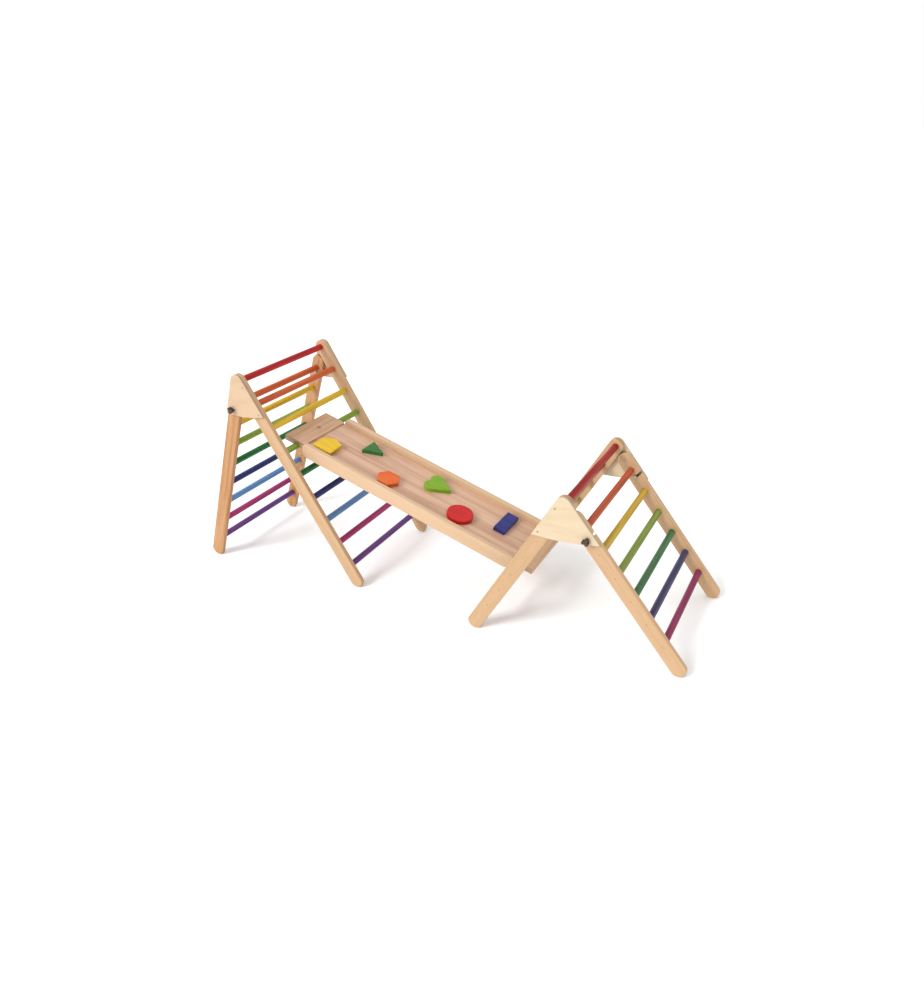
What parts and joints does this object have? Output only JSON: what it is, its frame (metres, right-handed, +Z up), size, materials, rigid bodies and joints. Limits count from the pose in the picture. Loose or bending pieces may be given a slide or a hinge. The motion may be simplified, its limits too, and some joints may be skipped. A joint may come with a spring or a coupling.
{
  "type": "folding rainbow climbing set with ramp",
  "caption": "Folding wooden rainbow climbing ladders, one large and one small, with a railed climbing ramp resting on their rungs.",
  "frame": {"origin": "centre of the footprint, on the floor that the round feet stand on", "axes": "+X along the length, from the large triangle to the small one; +Z up; +Y towards the far side of the ladders"},
  "size_m": [2.0917, 0.5946, 0.8358],
  "materials": {
    "birch_plywood": "clear satin varnish on birch plywood",
    "dark_blue_paint": "satin dark blue paint on wood",
    "dark_blue_stain": "translucent dark blue stain, grain showing",
    "dark_green_paint": "satin dark green paint on wood",
    "dark_green_stain": "translucent dark green stain, grain showing",
    "dark_plastic": "matte dark moulding",
    "light_blue_stain": "translucent light blue stain, grain showing",
    "light_green_paint": "satin light green paint on wood",
    "light_green_stain": "translucent light green stain, grain showing",
    "magenta_stain": "translucent magenta stain, grain showing",
    "orange_paint": "satin orange paint on wood",
    "orange_stain": "translucent orange stain, grain showing",
    "pale_beech": "clear satin varnish, pale straight grain",
    "purple_stain": "translucent purple stain, grain showing",
    "red_paint": "satin red paint on wood",
    "red_stain": "translucent red stain, grain showing",
    "steamed_beech": "clear satin varnish, pinkish brown board",
    "warm_beech": "clear satin varnish over warm straight grain",
    "yellow_paint": "satin yellow paint on wood",
    "yellow_stain": "translucent yellow stain, grain showing",
    "zinc_steel": "zinc plated"
  },
  "bodies": {
    "large_frame": {"large_fixed_leg_near": "warm_beech", "large_fixed_leg_far": "warm_beech", "large_top_rung_red": "red_stain", "large_fixed_rung_orange": "orange_stain", "large_fixed_rung_yellow": "yellow_stain", "large_fixed_rung_light_green": "light_green_stain", "large_fixed_rung_dark_green": "dark_green_stain", "large_fixed_rung_dark_blue": "dark_blue_stain", "large_fixed_rung_light_blue": "light_blue_stain", "large_fixed_rung_magenta": "magenta_stain", "large_fixed_rung_purple": "purple_stain", "large_gussets": "birch_plywood", "large_frame_fasteners": "zinc_steel"},
    "large_folding_ladder": {"large_folding_leg_near": "warm_beech", "large_folding_leg_far": "warm_beech", "large_folding_rung_orange": "orange_stain", "large_folding_rung_yellow": "yellow_stain", "large_folding_rung_light_green": "light_green_stain", "large_folding_rung_dark_green": "dark_green_stain", "large_folding_rung_dark_blue": "dark_blue_stain", "large_folding_rung_light_blue": "light_blue_stain", "large_folding_rung_magenta": "magenta_stain", "large_folding_rung_purple": "purple_stain", "large_folding_screws": "zinc_steel"},
    "large_knob_near": {"large_knob_near": "dark_plastic"},
    "large_knob_far": {"large_knob_far": "dark_plastic"},
    "ramp": {"ramp_rail_near": "pale_beech", "ramp_rail_far": "pale_beech", "ramp_deck": "steamed_beech", "ramp_upper_plank": "steamed_beech", "ramp_lower_plank": "steamed_beech", "hold_yellow_block": "yellow_paint", "hold_green_triangle": "dark_green_paint", "hold_orange_hexagon": "orange_paint", "hold_green_heart": "light_green_paint", "hold_red_disc": "red_paint", "hold_blue_bar": "dark_blue_paint", "ramp_screws": "zinc_steel"},
    "small_frame": {"small_fixed_leg_near": "warm_beech", "small_fixed_leg_far": "warm_beech", "small_top_rung_red": "red_stain", "small_fixed_rung_orange": "orange_stain", "small_fixed_rung_yellow": "yellow_stain", "small_fixed_rung_light_green": "light_green_stain", "small_fixed_rung_dark_green": "dark_green_stain", "small_fixed_rung_dark_blue": "dark_blue_stain", "small_fixed_rung_magenta": "magenta_stain", "small_gussets": "birch_plywood", "small_frame_fasteners": "zinc_steel"},
    "small_folding_ladder": {"small_folding_leg_near": "warm_beech", "small_folding_leg_far": "warm_beech", "small_folding_rung_orange": "orange_stain", "small_folding_rung_yellow": "yellow_stain", "small_folding_rung_light_green": "light_green_stain", "small_folding_rung_dark_green": "dark_green_stain", "small_folding_rung_dark_blue": "dark_blue_stain", "small_folding_rung_magenta": "magenta_stain", "small_folding_screws": "zinc_steel"},
    "small_knob_near": {"small_knob_near": "dark_plastic"},
    "small_knob_far": {"small_knob_far": "dark_plastic"}
  },
  "joints": [
    {"name": "large_ladder_fold", "type": "hinge", "parent": "large_frame", "child": "large_folding_ladder", "pos_m": [-0.68139, 0.0325, 0.74418], "axis": [0, -1, 0], "range_deg": [0, 48]},
    {"name": "large_knob_near_turn", "type": "hinge", "parent": "large_frame", "child": "large_knob_near", "pos_m": [-0.70294, -0.2163, 0.69838], "axis": [0, -1, 0], "continuous": true},
    {"name": "large_knob_far_turn", "type": "hinge", "parent": "large_frame", "child": "large_knob_far", "pos_m": [-0.70294, 0.2813, 0.69838], "axis": [0, 1, 0], "continuous": true},
    {"name": "ramp_tilt", "type": "hinge", "parent": "large_frame", "child": "ramp", "pos_m": [-0.52326, -0.0025, 0.53732], "axis": [0, -1, 0], "range_deg": [0, 12]},
    {"name": "small_frame_tilt", "type": "hinge", "parent": "ramp", "child": "small_frame", "pos_m": [0.39608, -0.0025, 0.1865], "axis": [0, 1, 0], "range_deg": [-4, 12]},
    {"name": "small_ladder_fold", "type": "hinge", "parent": "small_frame", "child": "small_folding_ladder", "pos_m": [0.6857, -0.0325, 0.50815], "axis": [0, 1, 0], "range_deg": [0, 65]},
    {"name": "small_knob_near_turn", "type": "hinge", "parent": "small_frame", "child": "small_knob_near", "pos_m": [0.72626, -0.2813, 0.44958], "axis": [0, -1, 0], "continuous": true},
    {"name": "small_knob_far_turn", "type": "hinge", "parent": "small_frame", "child": "small_knob_far", "pos_m": [0.72626, 0.2163, 0.44958], "axis": [0, 1, 0], "continuous": true}
  ]
}
